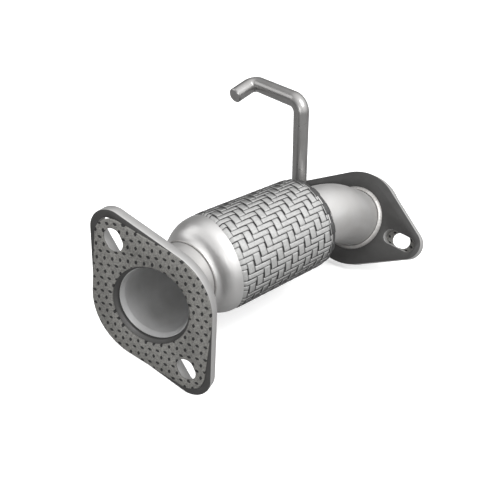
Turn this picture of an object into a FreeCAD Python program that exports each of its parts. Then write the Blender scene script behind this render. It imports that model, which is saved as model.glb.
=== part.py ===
import FreeCAD, Part
import math
import os

V = FreeCAD.Vector

# An exhaust front pipe: a flanged neck, a braided flexible section and a flanged elbow with a hanger.
# Sizes are in millimetres. The origin is the centre of the front joint face, where the next flange
# seats. +X runs to the rear along the flexible section and +Z runs up along the hanger rod.

# Pipes
pipe_diameter = 50.8
pipe_wall = 1.5
bend_radius = 76.2
pipe_recess = 4.0
lip_wall = 0.4
lip_depth = 4.0

# Route: each bend turns by an angle, towards a roll counted from +Y to +Z
front_bend_angle = 32.0
front_roll_angle = -17.2
bend_steps = 6
flange_to_front_bend = 25.4
front_bend_to_braid = 3.4
braid_length = 88.0
braid_to_rear_bend = 12.1
rear_bend_to_flange = 35.5
rear_bend_angle = 31.4
rear_roll_angle = -73.6

# Flanges
flange_thickness = 8.0
flange_middle_radius = 42.6
flange_lobe_radius = 13.5
flange_lobe_distance = 55.3
front_bolt_line_angle = 73.8
rear_bolt_line_angle = 102.8
slot_radius = 6.3
slot_distance = 49.1
slot_length = 28.9
bore_chamfer = 2.0
weld_leg = 3.5

# Gaskets
gasket_thickness = 1.5
gasket_middle_radius = 42.6
gasket_lobe_radius = 12.0
gasket_lobe_distance = 50.6
gasket_bore_radius = 27.6
gasket_slot_distance = 48.3
gasket_slot_length = 16.1
gasket_slot_angle = 6.6

# Flexible section
braid_radius = 38.0
braid_wall = 3.0
braid_step_length = 2.0
braid_tuck = 2.0
rim_inset = 0.6
weave_rows = 56
weave_columns = 13
weave_repeat = 4
weave_offset = 0.73
strand_width = 2.85
strand_height = 0.9
strand_gap = 2.0
strand_root = 0.5
ferrule_wall = 1.0
bell_length = 23.0
cap_lip_length = 2.0
cap_step = 0.8
cap_depth = 7.0
cap_neck_length = 4.5
bellows_wall = 0.8
bellows_folds = 3
bellows_cuff_length = 6.0
liner_wall = 0.8
liner_overhang = 6.0
pipe_slip = 3.0

# Hanger
rod_diameter = 12.7
rod_below_pipe_centre = 9.0
rod_height = 79.1
rod_reach = 59.4
rod_reach_rise_angle = 3.3
rod_tip_length = 25.0
rod_tip_swing_angle = 6.0
rod_tip_drop_angle = 14.1
rod_first_bend = 10.0
rod_second_bend = 7.0
rod_chamfer = 0.8
rod_bend_steps = 9
rod_behind_braid = 31.5
rod_weld_radius = 9.0

# Clearances
fit_gap = 0.1
weld_gap = 0.3
flex_gap = 0.3
rod_gap = 0.4
tuck_gap = 0.6

# Worked out from the sizes above
pipe_radius = pipe_diameter / 2
pipe_bore = pipe_radius - pipe_wall
X_AXIS = V(1, 0, 0)


def leaning(angle, roll):
    """A unit vector tipped away from +X by angle, towards roll, which is counted from +Y to +Z."""
    tip = math.radians(angle)
    side = math.radians(roll)
    return V(math.cos(tip), math.sin(tip) * math.cos(side), math.sin(tip) * math.sin(side))


front_inward = leaning(front_bend_angle, front_roll_angle)
rear_outward = leaning(rear_bend_angle, rear_roll_angle)
front_tangent = bend_radius * math.tan(math.radians(front_bend_angle) / 2)
rear_tangent = bend_radius * math.tan(math.radians(rear_bend_angle) / 2)
front_flange_face = front_inward * gasket_thickness
front_corner = front_flange_face + front_inward * (flange_to_front_bend + front_tangent)
braid_start = front_corner + X_AXIS * (front_tangent + front_bend_to_braid)
braid_end = braid_start + X_AXIS * braid_length
rear_corner = braid_end + X_AXIS * (braid_to_rear_bend + rear_tangent)
rear_flange_face = rear_corner + rear_outward * (rear_tangent + rear_bend_to_flange)
rear_joint_face = rear_flange_face + rear_outward * gasket_thickness
front_pipe_end = braid_start - X_AXIS * (liner_overhang - pipe_slip)
rear_pipe_start = braid_end + X_AXIS * (liner_overhang - pipe_slip)


def looking_in(centre, inward, turn):
    """A frame at a joint face: local z runs into the pipe, and local x along the line of the bolts."""
    across = (X_AXIS - inward * X_AXIS.dot(inward)).normalize()
    frame = FreeCAD.Rotation(across, inward.cross(across), inward, "ZXY")
    spin = FreeCAD.Rotation(V(0, 0, 1), turn)
    return FreeCAD.Placement(centre, frame * spin)


front_frame = looking_in(front_flange_face, front_inward, front_bolt_line_angle)
rear_frame = looking_in(rear_flange_face, rear_outward * -1, rear_bolt_line_angle)


def placed(shape, frame):
    shape.Placement = frame.multiply(shape.Placement)
    return shape


def bent_stations(points, radii, steps):
    """Centres and directions along a line through the points, rounded at each inner point in steps."""
    stations = [(points[0], (points[1] - points[0]).normalize())]
    for before, corner, after, radius in zip(points, points[1:], points[2:], radii):
        arriving = (corner - before).normalize()
        leaving = (after - corner).normalize()
        turn = arriving.getAngle(leaving)
        tangent = radius * math.tan(turn / 2)
        outward = (arriving - leaving).normalize()
        centre = corner - outward * (radius / math.cos(turn / 2))
        axis = arriving.cross(leaving)
        arm = corner - arriving * tangent - centre
        for step in range(steps + 1):
            swing = FreeCAD.Rotation(axis, math.degrees(turn) * step / steps)
            stations.append((centre + swing.multVec(arm), swing.multVec(arriving)))
    stations.append((points[-1], (points[-1] - points[-2]).normalize()))
    return stations


def tube_through(stations, radii):
    """A solid through round sections, which turn with the stations without twisting."""
    sections = []
    facing = V(0, 0, 1)
    frame = FreeCAD.Rotation()
    for (centre, direction), radius in zip(stations, radii):
        if facing.getAngle(direction) > 1e-6:
            frame = FreeCAD.Rotation(facing, direction) * frame
            facing = direction
        circle = Part.Wire(Part.makeCircle(radius))
        circle.Placement = FreeCAD.Placement(centre, frame)
        sections.append(circle)
    return Part.makeLoft(sections, True, True)


def round_bar(points, radii, radius, steps):
    """A solid bar of round section along the points, with each corner rounded in steps."""
    stations = bent_stations(points, radii, steps)
    return tube_through(stations, [radius] * len(stations))


def turned(outline, start, along=X_AXIS):
    """A solid turned about the line through start: the outline is a list of (distance, radius)."""
    points = [V(distance, radius, 0) for distance, radius in outline]
    face = Part.Face(Part.makePolygon(points + points[:1]))
    solid = face.revolve(V(0, 0, 0), X_AXIS, 360)
    return placed(solid, FreeCAD.Placement(start, FreeCAD.Rotation(X_AXIS, along)))


def circle_point(x, radius, angle):
    return V(x + radius * math.cos(angle), radius * math.sin(angle), 0)


def arc_between(x, radius, first, last):
    points = [circle_point(x, radius, angle) for angle in (first, (first + last) / 2, last)]
    return Part.Arc(*points).toShape()


def oval_plate(middle_radius, lobe_radius, lobe_distance, thickness):
    """A plate whose outline wraps a middle circle and one lobe circle at each end of local x."""
    lean = math.acos((middle_radius - lobe_radius) / lobe_distance)
    lobe_top = circle_point(lobe_distance, lobe_radius, lean)
    middle_right = circle_point(0, middle_radius, lean)
    middle_left = circle_point(0, middle_radius, math.pi - lean)
    far_lobe_top = circle_point(-lobe_distance, lobe_radius, math.pi - lean)
    half = [
        arc_between(lobe_distance, lobe_radius, -lean, lean),
        Part.makeLine(lobe_top, middle_right),
        arc_between(0, middle_radius, lean, math.pi - lean),
        Part.makeLine(middle_left, far_lobe_top),
    ]
    other_half = [edge.copy() for edge in half]
    for edge in other_half:
        edge.rotate(V(0, 0, 0), V(0, 0, 1), 180)
    return Part.Face(Part.Wire(half + other_half)).extrude(V(0, 0, thickness))


def slot_cutter(distance, length, radius, turn, thickness):
    """A radial slot on local x, turned about its own centre."""
    straight = length / 2 - radius
    edges = [
        arc_between(straight, radius, -math.pi / 2, math.pi / 2),
        Part.makeLine(V(straight, radius, 0), V(-straight, radius, 0)),
        arc_between(-straight, radius, math.pi / 2, 3 * math.pi / 2),
        Part.makeLine(V(-straight, -radius, 0), V(straight, -radius, 0)),
    ]
    cutter = Part.Face(Part.Wire(edges)).extrude(V(0, 0, thickness))
    cutter.rotate(V(0, 0, 0), V(0, 0, 1), turn)
    cutter.translate(V(distance, 0, 0))
    return cutter


def bolted_plate(plate, bore_radius, slot, thickness):
    """Cuts the gas bore and a slot at each end of local x."""
    cutters = [Part.makeCylinder(bore_radius, thickness)]
    for half_turn in (0, 180):
        cutter = slot.copy()
        cutter.rotate(V(0, 0, 0), V(0, 0, 1), half_turn)
        cutters.append(cutter)
    return plate.cut(cutters)


def flange(frame):
    plate = oval_plate(flange_middle_radius, flange_lobe_radius, flange_lobe_distance, flange_thickness)
    slot = slot_cutter(slot_distance, slot_length, slot_radius, 0, flange_thickness)
    bore = pipe_radius + fit_gap
    chamfer = Part.makeCone(bore + bore_chamfer, bore, bore_chamfer)
    return placed(bolted_plate(plate, bore, slot, flange_thickness).cut(chamfer), frame)


def gasket(frame):
    """A flat gasket that lies on the outer side of its flange."""
    plate = oval_plate(gasket_middle_radius, gasket_lobe_radius, gasket_lobe_distance, gasket_thickness)
    slot = slot_cutter(
        gasket_slot_distance, gasket_slot_length, slot_radius, gasket_slot_angle, gasket_thickness
    )
    solid = bolted_plate(plate, gasket_bore_radius, slot, gasket_thickness)
    solid.translate(V(0, 0, -gasket_thickness))
    return placed(solid, frame)


front_route = [front_flange_face + front_inward * pipe_recess, front_corner, front_pipe_end]
rear_route = [rear_flange_face - rear_outward * pipe_recess, rear_corner, rear_pipe_start]


def pipe_core(route):
    """The outside of a pipe as a full bar, which the pieces around it are cut with."""
    return round_bar(route, [bend_radius], pipe_radius, bend_steps)


def pipe(route):
    """A bent pipe. Its first end, inside the flange, opens out to a thin lip."""
    stations = bent_stations(route, [bend_radius], bend_steps)
    start, direction = stations[0]
    stations.insert(1, (start + direction * lip_depth, direction))
    bore = [pipe_radius - lip_wall] + [pipe_bore] * (len(stations) - 1)
    return pipe_core(route).cut(tube_through(stations, bore))


def flange_weld(flange_face, inward):
    """The fillet weld between the back of the flange and the pipe."""
    bore = pipe_radius + weld_gap
    outline = [(0, bore), (0, bore + weld_leg), (weld_leg, bore)]
    return turned(outline, flange_face + inward * flange_thickness, inward)


def neck_station(distance):
    """Centre and direction of the front pipe, this far ahead of the braid along its centre line."""
    if distance <= front_bend_to_braid:
        return braid_start - X_AXIS * distance, X_AXIS
    bend_start = braid_start - X_AXIS * front_bend_to_braid
    outward = (front_inward - X_AXIS * X_AXIS.dot(front_inward)).normalize()
    swing = (distance - front_bend_to_braid) / bend_radius
    centre = bend_start + outward * bend_radius * -1
    arm = outward * math.cos(swing) - X_AXIS * math.sin(swing)
    return centre + arm * bend_radius, X_AXIS * math.cos(swing) + outward * math.sin(swing)


rim_radius = braid_radius - rim_inset
neck_radius = pipe_radius + fit_gap + ferrule_wall
bell_curve = [(0, 1), (0.44, 0.82), (0.84, 0.17), (1, 0)]


def bell(inset):
    """The bell's outer shape moved inwards by the inset. Its curve is in shares of length and of rise."""
    rise = rim_radius - neck_radius
    stations = [neck_station(bell_length * share) for share, height in bell_curve]
    return tube_through(stations, [neck_radius - inset + rise * height for share, height in bell_curve])


def front_ferrule():
    """The spun bell that carries the front end of the flexible section and closes onto the pipe."""
    return bell(0).cut(bell(ferrule_wall))


def ferrule_weld(start, along):
    """The narrow weld between the small end of a ferrule and the pipe."""
    bore = pipe_radius + weld_gap
    outline = [(0, bore), (0, bore + ferrule_wall), (ferrule_wall, bore)]
    return turned(outline, start, along)


def rear_ferrule():
    """The end cap that is crimped over the rear end of the braid and closes onto the elbow."""
    wall = ferrule_wall
    end = cap_lip_length + cap_depth
    outline = [
        (0, rim_radius),
        (cap_lip_length, rim_radius),
        (cap_lip_length, rim_radius - cap_step),
        (end, neck_radius),
        (end + cap_neck_length, neck_radius),
        (end + cap_neck_length, neck_radius - wall),
        (end - wall / 2, neck_radius - wall),
        (cap_lip_length - wall, rim_radius - wall),
        (0, rim_radius - wall),
    ]
    return turned(outline, braid_end)


def braid():
    """The woven sleeve: a wall, stepped down at both ends, with the long floats standing on it."""
    surface = braid_radius - strand_height
    tucked = rim_radius - ferrule_wall - tuck_gap
    bore = braid_radius - braid_wall
    front_end = -braid_tuck
    rear_end = braid_length + cap_lip_length - ferrule_wall - flex_gap
    outline = [
        (front_end, tucked),
        (braid_step_length, tucked),
        (braid_step_length, surface),
        (braid_length - braid_step_length, surface),
        (braid_length - braid_step_length, tucked),
        (rear_end, tucked),
        (rear_end, bore),
        (front_end, bore),
    ]
    wall = turned(outline, braid_start)
    return wall.multiFuse(list(floats(surface)))


def floats(surface):
    """The axial strands where they lie on top: each spans two columns and steps one column a row."""
    column = braid_length / weave_columns
    first = braid_step_length
    last = braid_length - first
    height = strand_root + strand_height
    for row in range(weave_rows):
        for repeat in range(-1, weave_columns // weave_repeat + 2):
            step = (weave_offset + 1 - row) % weave_repeat + repeat * weave_repeat
            start = max(step * column + strand_gap / 2, first + strand_gap / 4)
            end = min((step + 2) * column - strand_gap / 2, last - strand_gap / 4)
            if end - start < strand_gap:
                continue
            strand = Part.makeBox(end - start, strand_width, height)
            strand.translate(V(start, -strand_width / 2, surface - strand_root))
            strand.rotate(V(0, 0, 0), X_AXIS, 360 * row / weave_rows)
            strand.translate(braid_start)
            yield strand


def bellows_line(inset):
    """One side of the bellows wall, moved inwards by the inset: a cuff, the folds and a cuff."""
    crest = braid_radius - braid_wall - flex_gap - inset
    cuff = pipe_radius + flex_gap + liner_wall + fit_gap + bellows_wall - inset
    pitch = (braid_length - 2 * bellows_cuff_length) / bellows_folds
    line = [(-liner_overhang, cuff)]
    for fold in range(bellows_folds):
        rise = bellows_cuff_length + (fold + 0.25) * pitch + inset
        fall = bellows_cuff_length + (fold + 0.75) * pitch - inset
        line += [(rise, cuff), (rise, crest), (fall, crest), (fall, cuff)]
    line.append((braid_length + liner_overhang, cuff))
    return line


def bellows():
    """The gas-tight folded tube under the braid, with a plain cuff at each end."""
    outer = bellows_line(0)
    inner = bellows_line(bellows_wall)
    return turned(outer + inner[::-1], braid_start)


def liner():
    """The inner sleeve that guides the gas and that both pipes slip into."""
    bore = pipe_radius + flex_gap
    length = braid_length + 2 * liner_overhang
    outline = [(0, bore), (0, bore + liner_wall), (length, bore + liner_wall), (length, bore)]
    return turned(outline, braid_start - X_AXIS * liner_overhang)


rod_radius = rod_diameter / 2
rod_x = braid_end.x + rod_behind_braid
rod_side = pipe_radius + rod_gap + rod_radius
rod_swing = math.asin((rod_x - rear_corner.x + rear_tangent) / bend_radius)
rod_side_drift = bend_radius * (1 - math.cos(rod_swing))
rod_pipe_centre = V(
    rod_x,
    rear_corner.y + rod_side_drift * math.cos(math.radians(rear_roll_angle)),
    rear_corner.z + rod_side_drift * math.sin(math.radians(rear_roll_angle)),
)
rod_line_y = rod_pipe_centre.y + rod_side


def rod_points():
    """The rod rises beside the elbow, reaches out to the left and turns forwards to its tip."""
    foot = V(rod_x, rod_line_y, rod_pipe_centre.z - rod_below_pipe_centre)
    top = V(rod_x, rod_line_y, rod_height)
    rise = math.radians(rod_reach_rise_angle)
    outer = top + V(0, math.cos(rise), math.sin(rise)) * rod_reach
    swing = math.radians(rod_tip_swing_angle)
    drop = math.radians(rod_tip_drop_angle)
    tip_direction = V(
        -math.cos(drop) * math.cos(swing), -math.cos(drop) * math.sin(swing), -math.sin(drop)
    )
    return [foot, top, outer, outer + tip_direction * rod_tip_length]


def hanger_rod():
    points = rod_points()
    rod = round_bar(points, [rod_first_bend, rod_second_bend], rod_radius, rod_bend_steps)
    tip = points[-1]
    rim = [edge for edge in rod.Edges if abs(edge.CenterOfMass.distanceToPoint(tip)) < 0.01]
    return rod.makeChamfer(rod_chamfer, rim[:1])


def hanger_weld():
    """The weld pad in the corners between the rod and the side of the elbow."""
    start = rod_pipe_centre + V(0, pipe_radius / 2, 0)
    pad = Part.makeCylinder(rod_weld_radius, pipe_radius / 2 + rod_gap + rod_radius, start, V(0, 1, 0))
    points = rod_points()
    return pad.cut([pipe_core(rear_route), round_bar(points[:2], [], rod_radius, rod_bend_steps)])


def rear_ferrule_end():
    return braid_end + X_AXIS * (cap_lip_length + cap_depth + cap_neck_length)


def parts():
    neck_end, neck_direction = neck_station(bell_length)
    return {
        "front_gasket": gasket(front_frame),
        "front_flange": flange(front_frame),
        "front_pipe": pipe(front_route),
        "front_flange_weld": flange_weld(front_flange_face, front_inward),
        "front_ferrule": front_ferrule(),
        "front_ferrule_weld": ferrule_weld(neck_end, neck_direction * -1),
        "braid": braid(),
        "bellows": bellows(),
        "liner": liner(),
        "rear_ferrule": rear_ferrule(),
        "rear_ferrule_weld": ferrule_weld(rear_ferrule_end(), X_AXIS),
        "rear_pipe": pipe(rear_route),
        "rear_flange_weld": flange_weld(rear_flange_face, rear_outward * -1),
        "rear_flange": flange(rear_frame),
        "rear_gasket": gasket(rear_frame),
        "hanger_rod": hanger_rod(),
        "hanger_weld": hanger_weld(),
    }


os.makedirs("parts", exist_ok=True)
for name, shape in parts().items():
    shape.exportStep(f"parts/{name}.step")
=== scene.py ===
import bpy
import bmesh
import math
from mathutils import Matrix, Quaternion, Vector


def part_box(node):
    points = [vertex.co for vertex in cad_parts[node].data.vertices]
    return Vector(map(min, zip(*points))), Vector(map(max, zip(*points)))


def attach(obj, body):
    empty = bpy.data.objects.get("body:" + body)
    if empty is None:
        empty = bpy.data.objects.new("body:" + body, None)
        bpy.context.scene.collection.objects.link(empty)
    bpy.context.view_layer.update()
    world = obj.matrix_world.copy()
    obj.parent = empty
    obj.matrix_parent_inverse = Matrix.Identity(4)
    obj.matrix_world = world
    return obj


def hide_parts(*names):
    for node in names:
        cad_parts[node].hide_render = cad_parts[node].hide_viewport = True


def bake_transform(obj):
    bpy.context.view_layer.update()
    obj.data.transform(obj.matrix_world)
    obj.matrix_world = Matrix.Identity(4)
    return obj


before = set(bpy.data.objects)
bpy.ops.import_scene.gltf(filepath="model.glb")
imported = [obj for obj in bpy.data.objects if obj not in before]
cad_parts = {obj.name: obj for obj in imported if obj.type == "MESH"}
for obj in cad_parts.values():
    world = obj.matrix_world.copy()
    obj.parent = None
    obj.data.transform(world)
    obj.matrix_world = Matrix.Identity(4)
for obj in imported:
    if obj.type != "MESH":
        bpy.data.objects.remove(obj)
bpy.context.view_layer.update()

MM = 0.001
X_AXIS = Vector((1, 0, 0))

# Sizes of the pieces, in metres
PIPE_RADIUS = 25.4 * MM
PIPE_BORE = 23.9 * MM
PIPE_RECESS = 4.0 * MM
PIPE_PAST_BRAID_END = 3.0 * MM
LIP_WALL = 0.4 * MM
LIP_DEPTH = 4.0 * MM
BEND_RADIUS = 76.2 * MM
GASKET_THICKNESS = 1.5 * MM
FLANGE_THICKNESS = 8.0 * MM
BRAID_RADIUS = 38.0 * MM
BRAID_LENGTH = 88.0 * MM
WEAVE_ROWS = 56
WEAVE_COLUMNS = 13
WEAVE_PHASE = 1.73
RIM_RADIUS = 37.4 * MM
NECK_RADIUS = 26.5 * MM
SHEET = 1.0 * MM
BELL_LENGTH = 23.0 * MM
CAP_LENGTH = 13.5 * MM
WELD_BORE = PIPE_RADIUS + 0.3 * MM
FLANGE_WELD_LEG = 3.5 * MM
NECK_WELD_LEG = 1.0 * MM
LINER_OVERHANG = 6.0 * MM
MERGE_DISTANCE = 0.001 * MM

# The route, with angles in degrees
FRONT_BEND, FRONT_ROLL = 32.0, -17.2
REAR_BEND, REAR_ROLL = 31.4, -73.6
FRONT_TANGENT = BEND_RADIUS * math.tan(math.radians(FRONT_BEND) / 2)
REAR_TANGENT = BEND_RADIUS * math.tan(math.radians(REAR_BEND) / 2)
FRONT_FLANGE_TO_CORNER = 25.4 * MM + FRONT_TANGENT
FRONT_CORNER_TO_BRAID = 3.4 * MM + FRONT_TANGENT
BRAID_TO_REAR_CORNER = 12.1 * MM + REAR_TANGENT
REAR_CORNER_TO_FLANGE = 35.5 * MM + REAR_TANGENT


def leaning(angle, roll):
    """A unit vector tipped away from +X by angle, towards roll counted from +Y to +Z."""
    tip, side = math.radians(angle), math.radians(roll)
    return Vector((math.cos(tip), math.sin(tip) * math.cos(side), math.sin(tip) * math.sin(side)))


front_inward = leaning(FRONT_BEND, FRONT_ROLL)
rear_outward = leaning(REAR_BEND, REAR_ROLL)
front_face = front_inward * GASKET_THICKNESS
front_corner = front_face + front_inward * FRONT_FLANGE_TO_CORNER
braid_start = front_corner + X_AXIS * FRONT_CORNER_TO_BRAID
braid_end = braid_start + X_AXIS * BRAID_LENGTH
rear_corner = braid_end + X_AXIS * BRAID_TO_REAR_CORNER
rear_face = rear_corner + rear_outward * REAR_CORNER_TO_FLANGE
flex_centre = (braid_start + braid_end) / 2


# Mesh helpers

def new_object(name, mesh):
    piece = bpy.data.objects.new(name, mesh)
    bpy.context.scene.collection.objects.link(piece)
    return piece


def shade(mesh, sharp_angle=35.0):
    """Smooth shading with a crease wherever two faces meet at more than the sharp angle."""
    bm = bmesh.new()
    bm.from_mesh(mesh)
    for face in bm.faces:
        face.smooth = True
    for edge in bm.edges:
        edge.smooth = len(edge.link_faces) == 2 and edge.calc_face_angle() < math.radians(sharp_angle)
    bm.to_mesh(mesh)
    bm.free()


def rings_to_mesh(name, rings, closed, sharp_angle=35.0):
    """Joins rings of points; closed joins the last ring to the first, otherwise the ends are capped."""
    bm = bmesh.new()
    made = [[bm.verts.new(point) for point in ring] for ring in rings]
    pairs = list(zip(made, made[1:]))
    if closed:
        pairs.append((made[-1], made[0]))
    for near, far in pairs:
        for k in range(len(near)):
            n = (k + 1) % len(near)
            bm.faces.new((near[k], near[n], far[n], far[k]))
    if not closed:
        bm.faces.new(reversed(made[0]))
        bm.faces.new(made[-1])
    bmesh.ops.recalc_face_normals(bm, faces=bm.faces)
    mesh = bpy.data.meshes.new(name)
    bm.to_mesh(mesh)
    bm.free()
    shade(mesh, sharp_angle)
    return new_object(name, mesh)


def rounded_profile(points, radii, steps=5):
    """A closed profile whose corners are rounded by the given radii."""
    outline = []
    count = len(points)
    for k, (corner, radius) in enumerate(zip(points, radii)):
        corner = Vector(corner)
        before, after = Vector(points[k - 1]), Vector(points[(k + 1) % count])
        if radius == 0:
            outline.append(corner)
            continue
        arriving = (corner - before).normalized()
        leaving = (after - corner).normalized()
        half = arriving.angle(leaving) / 2
        reach = min(radius * math.tan(half), (corner - before).length / 2, (after - corner).length / 2)
        first, last = corner - arriving * reach, corner + leaving * reach
        for step in range(steps + 1):
            t = step / steps
            outline.append(first * (1 - t) ** 2 + corner * 2 * t * (1 - t) + last * t ** 2)
    return outline


def lathe(name, profile, start, along, segments=128, ripple=0.0, ripples=0):
    """Turns a closed profile of (distance, radius) about the line through start."""
    turn = X_AXIS.rotation_difference(along)
    rings = []
    for point in profile:
        distance, radius = point[0], point[1]
        ring = []
        for k in range(segments):
            angle = math.tau * k / segments
            wavy = radius + ripple * math.sin(ripples * angle)
            spot = Vector((distance, wavy * math.cos(angle), wavy * math.sin(angle)))
            ring.append(start + turn @ spot)
        rings.append(ring)
    return rings_to_mesh(name, rings, closed=True)


def bend_path(points, radii, steps=14):
    """Stations (centre, turn) along the points, rounded at each inner point."""
    first = (points[1] - points[0]).normalized()
    spots = [(points[0], first)]
    for before, corner, after, radius in zip(points, points[1:], points[2:], radii):
        arriving = (corner - before).normalized()
        leaving = (after - corner).normalized()
        turn = arriving.angle(leaving)
        tangent = radius * math.tan(turn / 2)
        outward = (arriving - leaving).normalized()
        centre = corner - outward * (radius / math.cos(turn / 2))
        axis = arriving.cross(leaving).normalized()
        arm = corner - arriving * tangent - centre
        for step in range(steps + 1):
            swing = Quaternion(axis, turn * step / steps)
            spots.append((centre + swing @ arm, swing @ arriving))
    spots.append((points[-1], (points[-1] - points[-2]).normalized()))
    stations = []
    facing = Vector((0, 0, 1))
    frame_turn = Quaternion()
    for centre, direction in spots:
        frame_turn = facing.rotation_difference(direction) @ frame_turn
        facing = direction
        stations.append((centre, frame_turn.copy()))
    return stations


def station_ring(station, radius, segments):
    centre, turn = station
    ring = []
    for k in range(segments):
        angle = math.tau * k / segments
        ring.append(centre + turn @ Vector((radius * math.cos(angle), radius * math.sin(angle), 0)))
    return ring


def hollow_tube(name, stations, outer, inner, segments=96):
    """A pipe wall between outer and inner radii, which are given for each station."""
    rings = [station_ring(s, r, segments) for s, r in zip(stations, outer)]
    rings += [station_ring(s, r, segments) for s, r in reversed(list(zip(stations, inner)))]
    return rings_to_mesh(name, rings, closed=True, sharp_angle=11.0)


def solid_bar(name, stations, radii, segments=40):
    rings = [station_ring(s, r, segments) for s, r in zip(stations, radii)]
    return rings_to_mesh(name, rings, closed=False)


def dressed(node, bevel, body):
    """A merged copy of a construction node with its edges broken, in place of the plain node."""
    flat_angle, sharp_angle = 0.001, 0.6
    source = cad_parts[node]
    mesh = source.data.copy()
    mesh.materials.clear()
    bm = bmesh.new()
    bm.from_mesh(mesh)
    bmesh.ops.remove_doubles(bm, verts=bm.verts, dist=MERGE_DISTANCE)
    shared = [edge for edge in bm.edges if len(edge.link_faces) == 2]
    flat = [edge for edge in shared if edge.calc_face_angle() < flat_angle]
    bmesh.ops.dissolve_edges(bm, edges=flat, use_verts=False)
    shared = [edge for edge in bm.edges if len(edge.link_faces) == 2]
    sharp = [edge for edge in shared if edge.calc_face_angle() > sharp_angle]
    bmesh.ops.bevel(bm, geom=sharp, offset=bevel, segments=2, profile=0.5, affect="EDGES")
    bm.to_mesh(mesh)
    bm.free()
    shade(mesh, 50.0)
    piece = new_object(node + "_finished", mesh)
    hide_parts(node)
    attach(piece, body)
    return piece


# Material helpers

def feed(tree, socket, value):
    """Links an input to another node's output, or gives it a plain value."""
    if isinstance(value, bpy.types.NodeSocket):
        tree.links.new(value, socket)
    else:
        socket.default_value = value


def math_node(tree, operation, first, second=None, clamp=False):
    node = tree.nodes.new("ShaderNodeMath")
    node.operation = operation
    node.use_clamp = clamp
    feed(tree, node.inputs[0], first)
    if second is not None:
        feed(tree, node.inputs[1], second)
    return node.outputs[0]


def vector_node(tree, operation, vector, constant):
    """The dot product with a constant vector, or the distance from it."""
    node = tree.nodes.new("ShaderNodeVectorMath")
    node.operation = operation
    node.inputs[1].default_value = constant
    tree.links.new(vector, node.inputs[0])
    return node.outputs["Value"]


def map_range(tree, value, from_low, from_high, to_low=0.0, to_high=1.0, kind="SMOOTHSTEP"):
    node = tree.nodes.new("ShaderNodeMapRange")
    node.interpolation_type = kind
    for name, level in (("Value", value), ("From Min", from_low), ("From Max", from_high),
                        ("To Min", to_low), ("To Max", to_high)):
        feed(tree, node.inputs[name], level)
    return node.outputs["Result"]


def mix_colours(tree, factor, first, second):
    """Mixes two colours by a factor. Each is an output or a tuple of red, green and blue."""
    node = tree.nodes.new("ShaderNodeMix")
    node.data_type = "RGBA"
    feed(tree, node.inputs["Factor"], factor)
    for name, colour in (("A", first), ("B", second)):
        plain = not isinstance(colour, bpy.types.NodeSocket)
        feed(tree, node.inputs[name], (*colour, 1) if plain else colour)
    return node.outputs["Result"]


def grey(level, warmth=0.0):
    return (level * (1 + warmth), level, level * (1 - warmth))


def add_bump(tree, shader, height, distance):
    bump = tree.nodes.new("ShaderNodeBump")
    bump.inputs["Distance"].default_value = distance
    tree.links.new(height, bump.inputs["Height"])
    tree.links.new(bump.outputs["Normal"], shader.inputs["Normal"])


def texture_place(tree, kind="Object"):
    return tree.nodes.new("ShaderNodeTexCoord").outputs[kind]


def new_material(name):
    """A material with its node tree and its shader node."""
    material = bpy.data.materials.new(name)
    material.use_nodes = True
    return material, material.node_tree, material.node_tree.nodes["Principled BSDF"]


def noise(tree, coordinates, scale, detail=4.0, roughness=0.55):
    node = tree.nodes.new("ShaderNodeTexNoise")
    for name, value in (("Vector", coordinates), ("Scale", scale),
                        ("Detail", detail), ("Roughness", roughness)):
        feed(tree, node.inputs[name], value)
    return node.outputs["Fac"]


def spread(tree, value, low, high):
    """Maps a noise value from its useful middle range to low..high."""
    return map_range(tree, value, 0.3, 0.7, low, high, kind="LINEAR")


def steel_finish_group():
    """Mottled colour, uneven gloss and a fine grain, shared by all the bare steel."""
    group = bpy.data.node_groups.new("steel_finish", "ShaderNodeTree")
    sockets = group.interface.new_socket
    sockets("Light", in_out="INPUT", socket_type="NodeSocketColor")
    sockets("Dark", in_out="INPUT", socket_type="NodeSocketColor")
    sockets("Patch Scale", in_out="INPUT", socket_type="NodeSocketFloat").default_value = 60.0
    sockets("Smooth", in_out="INPUT", socket_type="NodeSocketFloat").default_value = 0.3
    sockets("Rough", in_out="INPUT", socket_type="NodeSocketFloat").default_value = 0.45
    sockets("Colour", in_out="OUTPUT", socket_type="NodeSocketColor")
    sockets("Roughness", in_out="OUTPUT", socket_type="NodeSocketFloat")
    sockets("Height", in_out="OUTPUT", socket_type="NodeSocketFloat")
    given = group.nodes.new("NodeGroupInput").outputs
    results = group.nodes.new("NodeGroupOutput").inputs
    coordinates = texture_place(group)
    patches = noise(group, coordinates, given["Patch Scale"])
    smudges = noise(group, coordinates, 140.0, 5.0, 0.6)
    colour = mix_colours(group, spread(group, patches, 0.0, 1.0), given["Light"], given["Dark"])
    group.links.new(colour, results["Colour"])
    group.links.new(spread(group, smudges, given["Smooth"], given["Rough"]), results["Roughness"])
    group.links.new(noise(group, coordinates, 2600.0, 2.0), results["Height"])
    return group


STEEL_FINISH = steel_finish_group()


def bare_steel(name, light, dark, smooth, rough, patch_scale=60.0, metallic=0.6):
    material, tree, shader = new_material(name)
    finish = tree.nodes.new("ShaderNodeGroup")
    finish.node_tree = STEEL_FINISH
    for label, value in (("Light", (*light, 1)), ("Dark", (*dark, 1)), ("Patch Scale", patch_scale),
                         ("Smooth", smooth), ("Rough", rough)):
        finish.inputs[label].default_value = value
    tree.links.new(finish.outputs["Colour"], shader.inputs["Base Color"])
    tree.links.new(finish.outputs["Roughness"], shader.inputs["Roughness"])
    add_bump(tree, shader, finish.outputs["Height"], 0.006 * MM)
    shader.inputs["Metallic"].default_value = metallic
    return material


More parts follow.
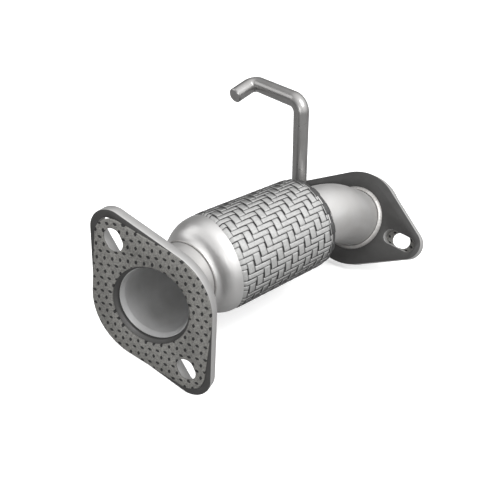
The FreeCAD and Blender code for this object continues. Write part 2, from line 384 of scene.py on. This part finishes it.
def plate_steel_with_painted_edge_light(name, axis, centre):
    """Steel plate with a dull dark face and bore, and painted light round its outside: surfaces turned away
    from the plate's axis are coloured brighter.
    """
    bore_reach = 33 * MM
    material = bare_steel(name, grey(0.070, 0.01), grey(0.055, 0.02), 0.42, 0.52)
    tree = material.node_tree
    shader = tree.nodes["Principled BSDF"]
    plain = shader.inputs["Base Color"].links[0].from_socket
    facing = vector_node(tree, "DOT_PRODUCT", texture_place(tree, "Normal"), axis)
    facing = math_node(tree, "ABSOLUTE", facing)
    away = vector_node(tree, "DISTANCE", texture_place(tree), centre)
    outside = math_node(tree, "GREATER_THAN", away, bore_reach)
    # Painted light: outside the bore, the plate's sides get a brighter grey according to their direction.
    edge = math_node(tree, "MULTIPLY", map_range(tree, facing, 0.95, 0.5), outside)
    tree.links.new(mix_colours(tree, edge, plain, grey(0.40, 0.01)), shader.inputs["Base Color"])
    return material


pipe_steel = bare_steel("satin_pipe_steel", grey(0.47, 0.01), grey(0.43, 0.02), 0.36, 0.44)
bell_steel = bare_steel("spun_bell_steel", grey(0.56, 0.01), grey(0.51, 0.01), 0.32, 0.40, metallic=0.75)
weld_steel = bare_steel("weld_bead_steel", grey(0.42, 0.02), grey(0.28, 0.04), 0.36, 0.5, patch_scale=220.0)
rod_steel = bare_steel("drawn_rod_steel", grey(0.33, 0.01), grey(0.28, 0.02), 0.26, 0.34, metallic=0.85)
# Brighter steel for the bores and the parts seen down them; the extra brightness is painted light in the
# bore.
bore_steel_with_painted_light = bare_steel("bore_steel_painted_light", grey(0.60), grey(0.50), 0.30, 0.40, metallic=0.5)
# Near-black steel for the sleeve under the weave: painted shade seen through its gaps.
shadow_steel = bare_steel("under_weave_painted_shade", grey(0.05), grey(0.03), 0.5, 0.7)


def finish_piece(piece, material, nodes, body):
    piece.data.materials.clear()
    piece.data.materials.append(material)
    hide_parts(*nodes)
    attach(piece, body)


# Pipes

def make_pipe(name, route, node, body):
    """A bent pipe whose bore flares out to a thin lip at the flange, with its bore coloured brighter than
    its outside as painted light.
    """
    stations = bend_path(route, [BEND_RADIUS])
    first = (route[1] - route[0]).normalized()
    stations.insert(1, (stations[0][0] + first * LIP_DEPTH, stations[0][1]))
    outer = [PIPE_RADIUS] * len(stations)
    inner = [PIPE_RADIUS - LIP_WALL] + [PIPE_BORE] * (len(stations) - 1)
    piece = hollow_tube(name, stations, outer, inner)
    finish_piece(piece, pipe_steel, [node], body)
    # The bore faces take the brighter steel: painted light inside the pipe.
    piece.data.materials.append(bore_steel_with_painted_light)
    bore_starts = len(piece.data.polygons) // 2
    for face in piece.data.polygons[bore_starts:]:
        face.material_index = 1


front_pipe_end = braid_start - X_AXIS * PIPE_PAST_BRAID_END
rear_pipe_end = braid_end + X_AXIS * PIPE_PAST_BRAID_END
front_route = [front_face + front_inward * PIPE_RECESS, front_corner, front_pipe_end]
rear_route = [rear_face - rear_outward * PIPE_RECESS, rear_corner, rear_pipe_end]
make_pipe("bent_neck", front_route, "front_pipe", "front_end")
make_pipe("bent_elbow", rear_route, "rear_pipe", "rear_end")


# Ferrules

# Distance ahead of the braid and radius, from shares of the bell's length and rise
BELL_SHAPE = ((0, 1), (0.2, 0.965), (0.44, 0.82), (0.66, 0.52), (0.84, 0.17), (1, 0))
BELL_SECTIONS = [(BELL_LENGTH * share, NECK_RADIUS + (RIM_RADIUS - NECK_RADIUS) * rise)
                 for share, rise in BELL_SHAPE]


def smooth_radius(distance):
    """The bell's radius at a distance ahead of the braid, on a smooth curve through its sections."""
    last = len(BELL_SECTIONS) - 1
    for k in range(last):
        (d1, r1), (d2, r2) = BELL_SECTIONS[k], BELL_SECTIONS[k + 1]
        if distance > d2 and k + 1 < last:
            continue
        d0, r0 = BELL_SECTIONS[k - 1] if k else (d1 - (d2 - d1), r1)
        d3, r3 = BELL_SECTIONS[k + 2] if k + 2 <= last else (d2 + (d2 - d1), r2)
        slope_1, slope_2 = (r2 - r0) / (d2 - d0), (r3 - r1) / (d3 - d1)
        t = (distance - d1) / (d2 - d1)
        h = d2 - d1
        return ((1 + 2 * t) * (1 - t) ** 2 * r1 + t * (1 - t) ** 2 * h * slope_1
                + t * t * (3 - 2 * t) * r2 + t * t * (t - 1) * h * slope_2)


def neck_station(distance):
    """Centre and turn of the neck's centre line at a distance ahead of the braid."""
    straight = FRONT_CORNER_TO_BRAID - FRONT_TANGENT
    outward = (front_inward - X_AXIS * front_inward.x).normalized()
    swing = max(distance - straight, 0) / BEND_RADIUS
    start = braid_start - X_AXIS * min(distance, straight)
    centre = start - outward * BEND_RADIUS
    spot = centre + (outward * math.cos(swing) - X_AXIS * math.sin(swing)) * BEND_RADIUS
    direction = X_AXIS * math.cos(swing) + outward * math.sin(swing)
    return spot, Vector((0, 0, 1)).rotation_difference(direction)


def make_bell():
    steps = 28
    distances = [BELL_LENGTH * k / steps for k in range(steps + 1)]
    stations = [neck_station(d) for d in distances]
    outer = [smooth_radius(d) for d in distances]
    inner = [r - SHEET for r in outer]
    piece = hollow_tube("spun_bell", stations, outer, inner, segments=128)
    finish_piece(piece, bell_steel, ["front_ferrule"], "front_end")


def make_end_cap():
    start, lip, step, cone_end, neck_end = 0.4 * MM, 2.0 * MM, 0.8 * MM, 9.0 * MM, CAP_LENGTH
    rim = RIM_RADIUS - 1.1 * MM
    corners = [
        (start, rim, 0.3), (lip, rim, 0.5), (lip, rim - step, 0.2), (cone_end, NECK_RADIUS, 2),
        (neck_end, NECK_RADIUS, 0.3), (neck_end, NECK_RADIUS - SHEET, 0),
        (cone_end - SHEET / 2, NECK_RADIUS - SHEET, 1.5), (lip - SHEET, rim - SHEET, 0.2),
        (start, rim - SHEET, 0)]
    profile = rounded_profile([(x, r) for x, r, _ in corners], [bend * MM for _, _, bend in corners])
    piece = lathe("crimped_end_cap", profile, braid_end, X_AXIS)
    finish_piece(piece, bell_steel, ["rear_ferrule"], "rear_end")


make_bell()
make_end_cap()


# Welds

def make_bead(name, start, along, leg, ripples, node, body):
    """A weld bead with the ripples that each pass leaves."""
    middle = leg * 0.56
    profile = rounded_profile(
        [(0, WELD_BORE), (0, WELD_BORE + leg), (middle, WELD_BORE + middle), (leg, WELD_BORE)],
        [0, leg * 0.2, leg * 0.8, leg * 0.2], steps=4)
    piece = lathe(name, profile, start, along, 360, leg * 0.015, ripples)
    finish_piece(piece, weld_steel, [node], body)


make_bead("front_flange_bead", front_face + front_inward * FLANGE_THICKNESS, front_inward,
          FLANGE_WELD_LEG, 60, "front_flange_weld", "front_end")
make_bead("rear_flange_bead", rear_face - rear_outward * FLANGE_THICKNESS, -rear_outward,
          FLANGE_WELD_LEG, 60, "rear_flange_weld", "rear_end")
neck_spot, neck_turn = neck_station(BELL_LENGTH)
make_bead("bell_bead", neck_spot, neck_turn @ Vector((0, 0, -1)),
          NECK_WELD_LEG, 90, "front_ferrule_weld", "front_end")
make_bead("end_cap_bead", braid_end + X_AXIS * CAP_LENGTH, X_AXIS,
          NECK_WELD_LEG, 90, "rear_ferrule_weld", "rear_end")


# Hanger

def make_rod():
    """The bent rod: an upright, an arm that rises a little and a tip that points forward and down."""
    low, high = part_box("hanger_rod")
    radius, chamfer = 6.35 * MM, 0.8 * MM
    corner_height, arm_length, tip_length = 79.1 * MM, 59.34 * MM, 25.0 * MM
    rise, swing, drop = math.radians(3.3), math.radians(6.0), math.radians(14.1)
    foot = Vector((high.x - radius, low.y + radius, low.z))
    top = Vector((foot.x, foot.y, corner_height))
    outer = top + Vector((0, math.cos(rise), math.sin(rise))) * arm_length
    tip = Vector((-math.cos(drop) * math.cos(swing), -math.cos(drop) * math.sin(swing), -math.sin(drop)))
    end = outer + tip * tip_length
    stations = bend_path([foot, top, outer, end], [10.0 * MM, 7.0 * MM])
    stations.insert(-1, (end - tip * chamfer, stations[-1][1]))
    radii = [radius] * (len(stations) - 1) + [radius - chamfer]
    piece = solid_bar("bent_rod", stations, radii)
    finish_piece(piece, rod_steel, ["hanger_rod"], "rear_end")


make_rod()
pad = dressed("hanger_weld", 0.6 * MM, "rear_end")
pad.data.materials.append(weld_steel)


# Flexible section

def bending(piece, nodes):
    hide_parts(*nodes)
    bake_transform(piece)


class NodeMaths:
    """Short calls for the nodes of a geometry tree."""

    def __init__(self, tree):
        self.tree = tree

    def put(self, kind, **settings):
        node = self.tree.nodes.new(kind)
        for name, value in settings.items():
            setattr(node, name, value)
        return node

    def join(self, value, socket):
        feed(self.tree, socket, value)

    def do(self, operation, first, second=0.0):
        return math_node(self.tree, operation, first, second)

    def clamped(self, value):
        node = self.put("ShaderNodeClamp")
        self.join(value, node.inputs["Value"])
        node.inputs["Min"].default_value = -1.0
        node.inputs["Max"].default_value = 1.0
        return node.outputs[0]

    def dip(self, distance, low, high, depth):
        """Zero past the high distance, easing down to minus the depth at the low one."""
        eased = map_range(self.tree, distance, low, high)
        return self.do("MULTIPLY", self.do("SUBTRACT", eased, 1.0), depth)

    def store(self, shape, label, value):
        """Keeps a value on every point of the shape."""
        node = self.put("GeometryNodeStoreNamedAttribute", data_type="FLOAT", domain="POINT")
        node.inputs["Name"].default_value = label
        self.join(shape, node.inputs["Geometry"])
        self.join(value, node.inputs["Value"])
        return node.outputs["Geometry"]

    def stored(self, label):
        node = self.put("GeometryNodeInputNamedAttribute", data_type="FLOAT")
        node.inputs["Name"].default_value = label
        return node.outputs["Attribute"]

    def split(self, vector):
        node = self.put("ShaderNodeSeparateXYZ")
        self.join(vector, node.inputs[0])
        return node.outputs

    def point(self, x, y, z):
        node = self.put("ShaderNodeCombineXYZ")
        for value, socket in zip((x, y, z), node.inputs):
            self.join(value, socket)
        return node.outputs[0]


WEAVE_INPUTS = [
    ("Bands", "NodeSocketInt", WEAVE_ROWS),
    ("Rows", "NodeSocketInt", WEAVE_ROWS),
    ("Columns", "NodeSocketInt", WEAVE_COLUMNS),
    ("Phase", "NodeSocketFloat", WEAVE_PHASE),
    ("Length", "NodeSocketFloat", BRAID_LENGTH),
    ("Radius", "NodeSocketFloat", 37.25 * MM),
    ("Band Width", "NodeSocketFloat", 3.8 * MM),
    ("Thickness", "NodeSocketFloat", 0.4 * MM),
    ("Wave", "NodeSocketFloat", 0.38 * MM),
    ("Steepness", "NodeSocketFloat", 3.6),
    ("Tuck", "NodeSocketFloat", 1.9 * MM),
    ("Tuck Length", "NodeSocketFloat", 4.0 * MM),
    ("End Dip", "NodeSocketFloat", 0.9 * MM),
    ("Material", "NodeSocketMaterial", None),
]


def flat_bands(n, given, hoops):
    """As many flat bands as asked for, all in one place, each numbered by its attribute."""
    points_across, points_per_row, points_per_column, overrun = 5, 6, 8, 0.4 * MM
    line = n.put("GeometryNodeMeshLine")
    n.join(given["Bands"], line.inputs["Count"])
    line.inputs["Offset"].default_value = (0, 0, 0)
    points = n.store(line.outputs["Mesh"], "band_number", n.put("GeometryNodeInputIndex").outputs[0])
    band = n.put("GeometryNodeMeshCube")
    if hoops:
        length, width = given["Band Width"], math.tau
        vertices_x = points_across
        vertices_y = n.do("ADD", n.do("MULTIPLY", given["Rows"], points_per_row), 1)
    else:
        length, width = n.do("ADD", given["Length"], overrun), given["Band Width"]
        vertices_x = n.do("MULTIPLY", given["Columns"], points_per_column)
        vertices_y = points_across
    n.join(vertices_x, band.inputs["Vertices X"])
    n.join(vertices_y, band.inputs["Vertices Y"])
    n.join(n.point(length, width, given["Thickness"]), band.inputs["Size"])
    copies = n.put("GeometryNodeInstanceOnPoints")
    n.join(points, copies.inputs["Points"])
    n.join(band.outputs["Mesh"], copies.inputs["Instance"])
    real = n.put("GeometryNodeRealizeInstances")
    n.join(copies.outputs["Instances"], real.inputs["Geometry"])
    if not hoops:
        return real.outputs["Geometry"]
    normal = n.split(n.put("GeometryNodeInputNormal").outputs[0])
    ends = n.do("GREATER_THAN", n.do("ABSOLUTE", normal["Y"]), 0.9)
    opened = n.put("GeometryNodeDeleteGeometry", domain="FACE")
    n.join(real.outputs["Geometry"], opened.inputs["Geometry"])
    n.join(ends, opened.inputs["Selection"])
    return opened.outputs["Geometry"]


def wrapped_bands(n, given, shape, hoops):
    """Wraps the flat bands round the braid, each rising over two neighbours and diving under two."""
    hoop_lead, edge_drop = 1.5, 0.12 * MM
    pitch = n.do("DIVIDE", given["Length"], given["Columns"])
    number = n.stored("band_number")
    place = n.split(n.put("GeometryNodeInputPosition").outputs[0])
    if hoops:
        column = n.do("ADD", number, n.do("SUBTRACT", given["Phase"], hoop_lead))
        distance = n.do("ADD", n.do("MULTIPLY", column, pitch), place["X"])
        angle = n.do("ADD", place["Y"], math.pi)
        row = n.do("MULTIPLY", n.do("DIVIDE", angle, math.tau), given["Rows"])
        across, side = place["X"], -1.0
    else:
        distance = n.do("ADD", place["X"], n.do("MULTIPLY", given["Length"], 0.5))
        column = n.do("DIVIDE", distance, pitch)
        row = number
        turn = n.do("MULTIPLY", n.do("DIVIDE", number, given["Rows"]), math.tau)
        angle = n.do("ADD", turn, n.do("DIVIDE", place["Y"], given["Radius"]))
        across, side = place["Y"], 1.0
    edge = n.do("DIVIDE", n.do("MULTIPLY", across, 2.0), given["Band Width"])
    beat = n.do("ADD", n.do("SUBTRACT", column, given["Phase"]), row)
    swing = n.do("SINE", n.do("MULTIPLY", beat, math.pi / 2))
    lift = n.clamped(n.do("MULTIPLY", n.do("MULTIPLY", swing, given["Steepness"]), side))
    wave = n.do("MULTIPLY", lift, given["Wave"])
    crown = n.do("MULTIPLY", n.do("MULTIPLY", edge, edge), -edge_drop)
    left = n.do("SUBTRACT", given["Length"], distance)
    near_dip = n.dip(distance, 0.0, given["Tuck Length"], given["Tuck"])
    far_dip = n.dip(left, -1.0 * MM, 1.5 * MM, given["End Dip"])
    relief = n.do("ADD", wave, n.do("ADD", crown, n.do("ADD", near_dip, far_dip)))
    radius = n.do("ADD", n.do("ADD", given["Radius"], relief), place["Z"])
    for label, value in (("band_lift", lift), ("band_edge", n.do("ABSOLUTE", edge)), ("band_end", left)):
        shape = n.store(shape, label, value)
    y_offset = n.do("MULTIPLY", radius, n.do("SINE", angle))
    z_offset = n.do("MULTIPLY", radius, n.do("COSINE", angle))
    spot = n.point(n.do("ADD", distance, braid_start.x),
                   n.do("SUBTRACT", braid_start.y, y_offset),
                   n.do("ADD", braid_start.z, z_offset))
    wrapped = n.put("GeometryNodeSetPosition")
    n.join(shape, wrapped.inputs["Geometry"])
    n.join(spot, wrapped.inputs["Position"])
    return wrapped.outputs["Geometry"]


def weave_tree(name, hoops):
    """The tree that makes one set of the weave: the lengthwise bands, or the hoops that cross them."""
    tree = bpy.data.node_groups.new(name, "GeometryNodeTree")
    for label, kind, value in WEAVE_INPUTS:
        socket = tree.interface.new_socket(label, in_out="INPUT", socket_type=kind)
        if value is not None:
            socket.default_value = value
    tree.interface.new_socket("Geometry", in_out="OUTPUT", socket_type="NodeSocketGeometry")
    n = NodeMaths(tree)
    given = n.put("NodeGroupInput").outputs
    shape = wrapped_bands(n, given, flat_bands(n, given, hoops), hoops)
    merged = n.put("GeometryNodeMergeByDistance")
    n.join(shape, merged.inputs["Geometry"])
    merged.inputs["Distance"].default_value = MERGE_DISTANCE
    smooth = n.put("GeometryNodeSetShadeSmooth")
    n.join(merged.outputs["Geometry"], smooth.inputs["Geometry"])
    painted = n.put("GeometryNodeSetMaterial")
    n.join(smooth.outputs["Geometry"], painted.inputs["Geometry"])
    n.join(given["Material"], painted.inputs["Material"])
    n.join(painted.outputs["Geometry"], n.put("NodeGroupOutput").inputs["Geometry"])
    return tree


def grown(name, tree, **values):
    """Runs a geometry tree with the given inputs and keeps its result as a plain mesh."""
    seed = new_object(name + "_seed", bpy.data.meshes.new(name + "_seed"))
    modifier = seed.modifiers.new("grow", "NODES")
    modifier.node_group = tree
    for item in tree.interface.items_tree:
        if item.in_out == "INPUT" and item.name in values:
            modifier[item.identifier] = values[item.name]
    bpy.context.view_layer.update()
    evaluated = seed.evaluated_get(bpy.context.evaluated_depsgraph_get())
    mesh = bpy.data.meshes.new_from_object(evaluated)
    seed.modifiers.clear()
    bpy.data.objects.remove(seed)
    mesh.name = name
    return mesh


def wire_steel(name, along_length):
    """Bright wire side by side, with fine ridges along the band.

    It carries painted shade where the band dives under, along its edges, at the braid's rear end and where
    it is seen at a slant, because one then looks into the gaps.
    """
    wire_pitch = 0.62 * MM
    material, tree, shader = new_material(name)
    place = texture_place(tree)
    # Painted shade: darker where the band dives under, along its edges, at the rear end and at a slant.
    shadow = 0.0
    for label, clear, dark in (("band_lift", 0.35, -0.9), ("band_edge", 0.8, 1.05),
                               ("band_end", 1.0 * MM, -0.2 * MM)):
        stored = tree.nodes.new("ShaderNodeAttribute")
        stored.attribute_name = label
        shadow = math_node(tree, "MAXIMUM", map_range(tree, stored.outputs["Fac"], clear, dark), shadow)
    facing = tree.nodes.new("ShaderNodeLayerWeight").outputs["Facing"]
    shadow = math_node(tree, "ADD", shadow, map_range(tree, facing, 0.35, 1.0, 0.0, 1.6))
    mottle = spread(tree, noise(tree, place, 700.0, 3.0), 0.0, 0.25)
    # The mix share is the painted shade plus a random mottle.
    depth = math_node(tree, "ADD", math_node(tree, "MULTIPLY", shadow, 0.9), mottle, clamp=True)
    colour = mix_colours(tree, depth, (0.44, 0.44, 0.435), grey(0.07))
    tree.links.new(colour, shader.inputs["Base Color"])
    parts = tree.nodes.new("ShaderNodeSeparateXYZ")
    tree.links.new(place, parts.inputs[0])
    if along_length:
        side = math_node(tree, "SUBTRACT", parts.outputs["Y"], braid_start.y)
        up = math_node(tree, "SUBTRACT", parts.outputs["Z"], braid_start.z)
        across = math_node(tree, "MULTIPLY", math_node(tree, "ARCTAN2", side, up), BRAID_RADIUS)
    else:
        across = parts.outputs["X"]
    ridges = math_node(tree, "SINE", math_node(tree, "MULTIPLY", across, math.tau / wire_pitch))
    add_bump(tree, shader, ridges, 0.04 * MM)
    shader.inputs["Metallic"].default_value = 0.6
    shader.inputs["Roughness"].default_value = 0.58
    return material


def make_under_weave():
    """A near-black sleeve under the bands, painted shade seen through the gaps of the weave, with enough
    rings to follow a bend.
    """
    inner, tucked, full, far = 35.0 * MM, 35.4 * MM, 36.4 * MM, 35.8 * MM
    steps, taper, start, end = 24, 3 * MM, -2 * MM, BRAID_LENGTH + 0.3 * MM
    outside = [(taper + (BRAID_LENGTH - 2 * taper) * k / steps, full) for k in range(steps + 1)]
    outside = [(start, tucked), (0, tucked)] + outside + [(end, far)]
    inside = [(start + (end - start) * k / steps, inner) for k in range(steps, -1, -1)]
    sleeve = lathe("under_weave", outside + inside, braid_start, X_AXIS)
    sleeve.data.materials.append(shadow_steel)
    return sleeve


def make_braid():
    lengthwise = wire_steel("lengthwise_wire", True)
    around = wire_steel("hoop_wire", False)
    bands = new_object("lengthwise_bands", grown(
        "lengthwise_bands", weave_tree("lengthwise_weave", False), Material=lengthwise))
    hoops = new_object("hoop_bands", grown(
        "hoop_bands", weave_tree("hoop_weave", True), **{
            "Material": around, "Bands": WEAVE_COLUMNS + 1, "Band Width": 5.9 * MM, "Steepness": 4.0}))
    for piece in (bands, hoops, make_under_weave()):
        bending(piece, ["braid"])


def make_bellows():
    folds, steps = 12, 12
    crest, valley, cuff, wall = 34.5 * MM, 28.6 * MM, 27.5 * MM, 0.6 * MM
    cuff_out, cuff_in, folds_start = -6 * MM, 3 * MM, 6 * MM
    outer = [(cuff_out, cuff), (cuff_in, cuff)]
    for k in range(folds * steps + 1):
        wave = (1 - math.cos(math.tau * k / steps)) / 2
        distance = folds_start + (BRAID_LENGTH - 2 * folds_start) * k / (folds * steps)
        outer.append((distance, valley + (crest - valley) * wave))
    outer += [(BRAID_LENGTH - cuff_in, cuff), (BRAID_LENGTH - cuff_out, cuff)]
    inner = [(distance, radius - wall) for distance, radius in reversed(outer)]
    piece = lathe("folded_bellows", outer + inner, braid_start, X_AXIS, 72)
    piece.data.materials.append(bore_steel_with_painted_light)
    bending(piece, ["bellows"])


def make_liner():
    """The strip-wound liner: each lap's raised part covers the start of the next one."""
    bore, wall, laps, rise = WELD_BORE, 0.8 * MM, 25, 0.25 * MM
    length = BRAID_LENGTH + 2 * LINER_OVERHANG
    outer, inner = [], []
    for k in range(laps):
        for share, lift in ((0.0, rise), (0.45, rise), (0.5, 0.0), (0.95, 0.0)):
            distance = length * (k + share) / laps
            outer.append((distance, bore + wall - rise + lift))
            inner.append((distance, bore))
    outer.append((length, bore + wall))
    inner.append((length, bore))
    start = braid_start - X_AXIS * LINER_OVERHANG
    piece = lathe("lapped_liner", outer + inner[::-1], start, X_AXIS, 72)
    piece.data.materials.append(bore_steel_with_painted_light)
    bending(piece, ["liner"])


make_braid()
make_bellows()
make_liner()


# Flanges and gaskets

def gasket_facing(name, inward, along):
    """Grey graphite facing with rows of small pierced lozenges, laid out in the gasket's own plane."""
    pitch_u, pitch_v, half_u, half_v, lean = 5.4 * MM, 5.0 * MM, 0.38, 0.26, 0.9
    material, tree, shader = new_material(name)
    place = texture_place(tree)

    def calc(operation, first, second=None):
        return math_node(tree, operation, first, second)

    v_cell = calc("DIVIDE", vector_node(tree, "DOT_PRODUCT", place, inward.cross(along)), pitch_v)
    stagger = calc("MULTIPLY", calc("FLOOR", v_cell), 0.5)
    u_cell = calc("ADD", calc("DIVIDE", vector_node(tree, "DOT_PRODUCT", place, along), pitch_u), stagger)
    odd = calc("FLOORED_MODULO", calc("FLOOR", u_cell), 2.0)
    flip = calc("MULTIPLY", calc("SUBTRACT", calc("MULTIPLY", odd, 2.0), 1.0), lean)
    du = calc("SUBTRACT", calc("FRACT", u_cell), 0.5)
    dv = calc("SUBTRACT", calc("FRACT", v_cell), 0.5)
    turned_u = calc("ADD", du, calc("MULTIPLY", dv, flip))
    turned_v = calc("SUBTRACT", dv, calc("MULTIPLY", du, flip))
    shares = [calc("POWER", calc("DIVIDE", calc("ABSOLUTE", turned), half), 1.5)
              for turned, half in ((turned_u, half_u), (turned_v, half_v))]
    hole = calc("LESS_THAN", calc("ADD", *shares), 1.0)
    mottle = spread(tree, noise(tree, place, 900.0, 3.0), 0.0, 1.0)
    facing = mix_colours(tree, mottle, (0.190, 0.186, 0.175), (0.085, 0.084, 0.079))
    tree.links.new(mix_colours(tree, hole, facing, grey(0.008)), shader.inputs["Base Color"])
    add_bump(tree, shader, calc("SUBTRACT", calc("MULTIPLY", mottle, 0.1), hole), 0.3 * MM)
    shader.inputs["Roughness"].default_value = 0.75
    return material


def bolt_line(inward, turn):
    """The direction from slot to slot, turned about the inward direction by an angle in degrees."""
    across = (X_AXIS - inward * inward.x).normalized()
    return Quaternion(inward, math.radians(turn)) @ across


# Each joint: its end, its flange face, the way from there into the part and the turn of its line of bolts
JOINTS = (("front", front_face, front_inward, 73.8),
          ("rear", rear_face, -rear_outward, 102.8))
for end, face, inward, _ in JOINTS:
    plate = plate_steel_with_painted_edge_light(end + "_flange_steel", inward, face)
    dressed(end + "_flange", 0.45 * MM, end + "_end").data.materials.append(plate)
for end, _, inward, turn in JOINTS:
    facing = gasket_facing(end + "_gasket_facing", inward, bolt_line(inward, turn))
    dressed(end + "_gasket", 0.2 * MM, end + "_end").data.materials.append(facing)


# Studio

LIGHT_DIRECTION = Vector((0.1, -0.6, 0.8)).normalized()
LAMP_DISTANCE = 0.9
LAMPS = (("key", LIGHT_DIRECTION, 0.5, 4.5),
         ("fill", Vector((-0.80, -0.50, 0.25)), 0.35, 1.3),
         ("rim", Vector((-0.55, 0.65, 0.55)), 0.5, 1.1))
FLOOR_HEIGHT = -75.5 * MM
PICTURE_PIXELS = 480
FOCAL_PIXELS = 579.4
SENSOR_WIDTH = 36.0
CAMERA_RIGHT = Vector((0.7790, -0.6270, -0.0234))
CAMERA_FORWARD = Vector((0.5273, 0.6745, -0.5160))
CAMERA_FROM_BRAID = Vector((-0.20227, -0.29329, 0.23332))


def camera_rays(tree):
    return tree.nodes.new("ShaderNodeLightPath").outputs["Is Camera Ray"]


def make_floor():
    """A white floor that keeps a soft shadow but throws little light back onto the part."""
    reach = 4.0
    mesh = bpy.data.meshes.new("floor")
    corners = [(x * reach, y * reach, FLOOR_HEIGHT) for x, y in ((-1, -1), (1, -1), (1, 1), (-1, 1))]
    mesh.from_pydata(corners, [], [(0, 1, 2, 3)])
    floor = new_object("floor", mesh)
    material, tree, shader = new_material("white_floor")
    seen = camera_rays(tree)
    tree.links.new(mix_colours(tree, seen, grey(0.28), grey(0.9)), shader.inputs["Base Color"])
    shader.inputs["Emission Color"].default_value = (1, 1, 1, 1)
    tree.links.new(math_node(tree, "MULTIPLY", seen, 0.35), shader.inputs["Emission Strength"])
    shader.inputs["Roughness"].default_value = 0.9
    shader.inputs["Specular IOR Level"].default_value = 0.0
    mesh.materials.append(material)


def make_world():
    """A soft glow from above the camera's side, dim all round, behind a background seen as white."""
    world = bpy.data.worlds.new("studio")
    bpy.context.scene.world = world
    world.use_nodes = True
    tree = world.node_tree
    facing = vector_node(tree, "DOT_PRODUCT", texture_place(tree, "Generated"), LIGHT_DIRECTION)
    glow = map_range(tree, facing, -0.2, 1.0, 0.10, 1.85)
    background = tree.nodes["Background"]
    tree.links.new(mix_colours(tree, camera_rays(tree), glow, grey(1.0)), background.inputs["Color"])
    background.inputs["Strength"].default_value = 1.0


def soft_lamp(name, direction, size, power):
    """A round lamp that lights the flexible section from a direction."""
    light = bpy.data.lights.new(name, "AREA")
    light.shape = "DISK"
    light.size = size
    light.energy = power
    lamp = bpy.data.objects.new(name, light)
    bpy.context.scene.collection.objects.link(lamp)
    lamp.location = flex_centre + direction * LAMP_DISTANCE
    lamp.rotation_euler = (-direction).to_track_quat("-Z", "Y").to_euler()


def make_camera():
    """The camera of the photograph, placed by its own axes."""
    right = CAMERA_RIGHT.normalized()
    forward = (CAMERA_FORWARD - right * CAMERA_FORWARD.dot(right)).normalized()
    up = right.cross(forward)
    data = bpy.data.cameras.new("camera")
    data.sensor_width = SENSOR_WIDTH
    data.lens = SENSOR_WIDTH * FOCAL_PIXELS / PICTURE_PIXELS
    camera = bpy.data.objects.new("camera", data)
    bpy.context.scene.collection.objects.link(camera)
    camera.matrix_world = Matrix((right, up, -forward)).transposed().to_4x4()
    camera.matrix_world.translation = braid_start + CAMERA_FROM_BRAID
    bpy.context.scene.camera = camera
    bpy.context.scene.view_settings.view_transform = "Standard"


make_floor()
make_world()
for lamp in LAMPS:
    soft_lamp(*lamp)
make_camera()
